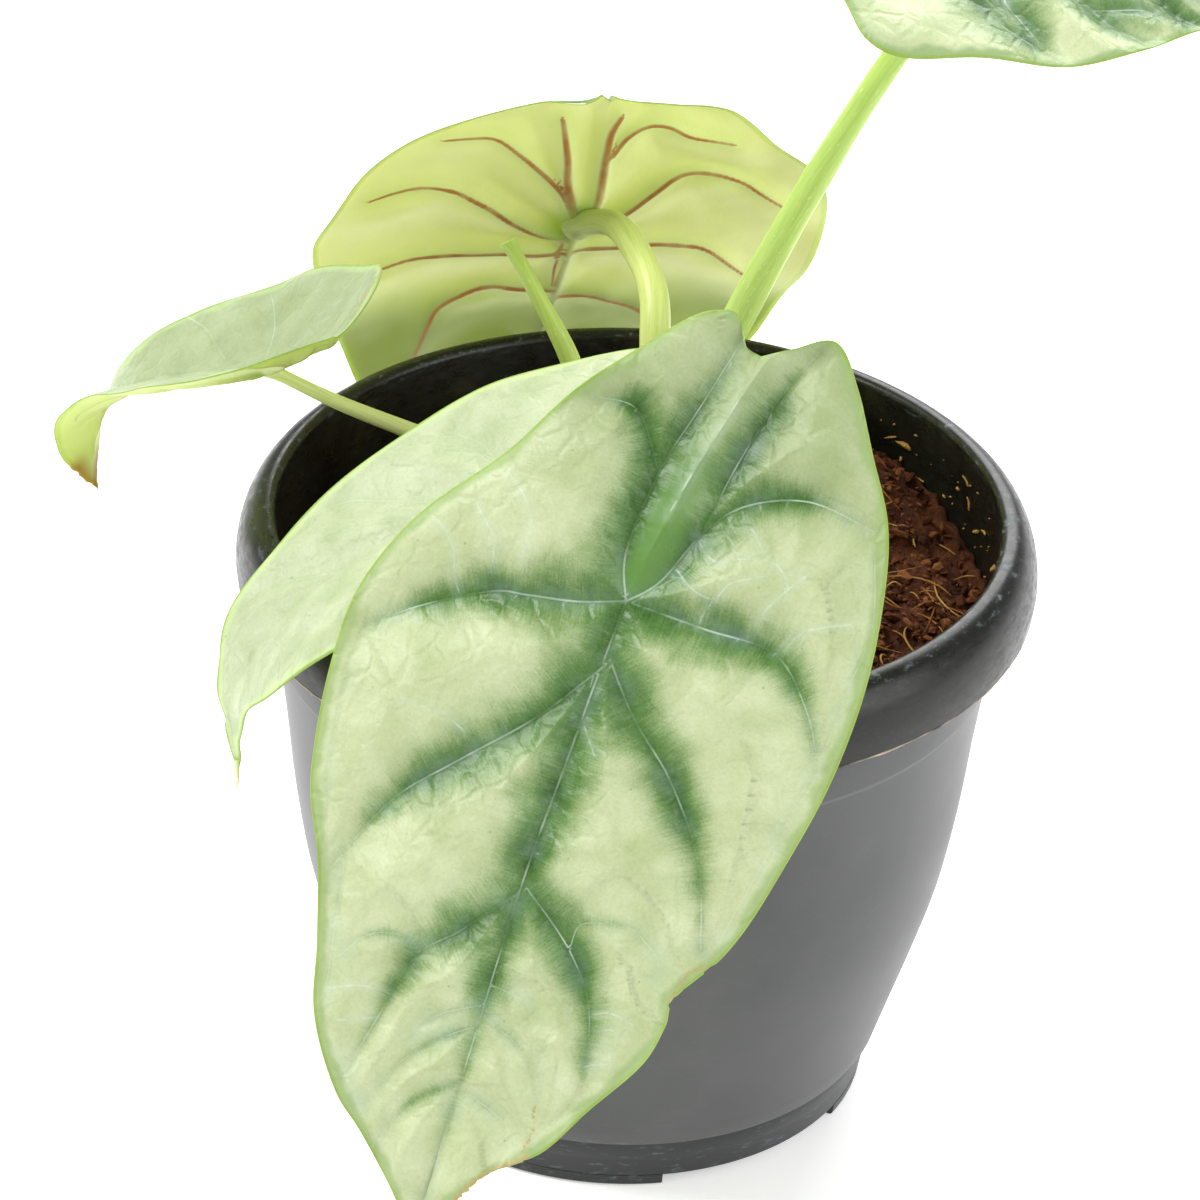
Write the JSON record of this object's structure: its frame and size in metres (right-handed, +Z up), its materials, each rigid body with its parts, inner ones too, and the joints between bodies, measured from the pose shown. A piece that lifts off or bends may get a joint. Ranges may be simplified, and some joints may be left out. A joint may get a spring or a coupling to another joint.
{
  "type": "potted plant",
  "caption": "Potted silver dragon alocasia: quilted silver-green leaves with dark veins on arching stalks, in a black plastic nursery pot filled with coir.",
  "frame": {"origin": "centre of the pot's foot, on the surface it stands on", "axes": "+Z up along the pot's axis, +X to the viewer's right, +Y away from the viewer; the large front leaf hangs towards -Y"},
  "size_m": [0.2133, 0.2325, 0.222],
  "materials": {
    "pot_plastic": "satin",
    "coir": "matte",
    "leaf": "satin",
    "pale_leaf": "satin",
    "stalk": "satin",
    "crown_sheath": "matte"
  },
  "bodies": {
    "root": {"pot": "pot_plastic", "soil": "coir", "crown": "crown_sheath", "blade_front": "leaf", "blade_back": "leaf", "blade_left": "leaf", "blade_right": "leaf", "blade_left_front": "pale_leaf", "petiole_front": "stalk", "petiole_left_front": "stalk", "petiole_left": "stalk", "petiole_back": "stalk", "petiole_right": "stalk", "petiole_stub": "stalk"}
  },
  "joints": []
}
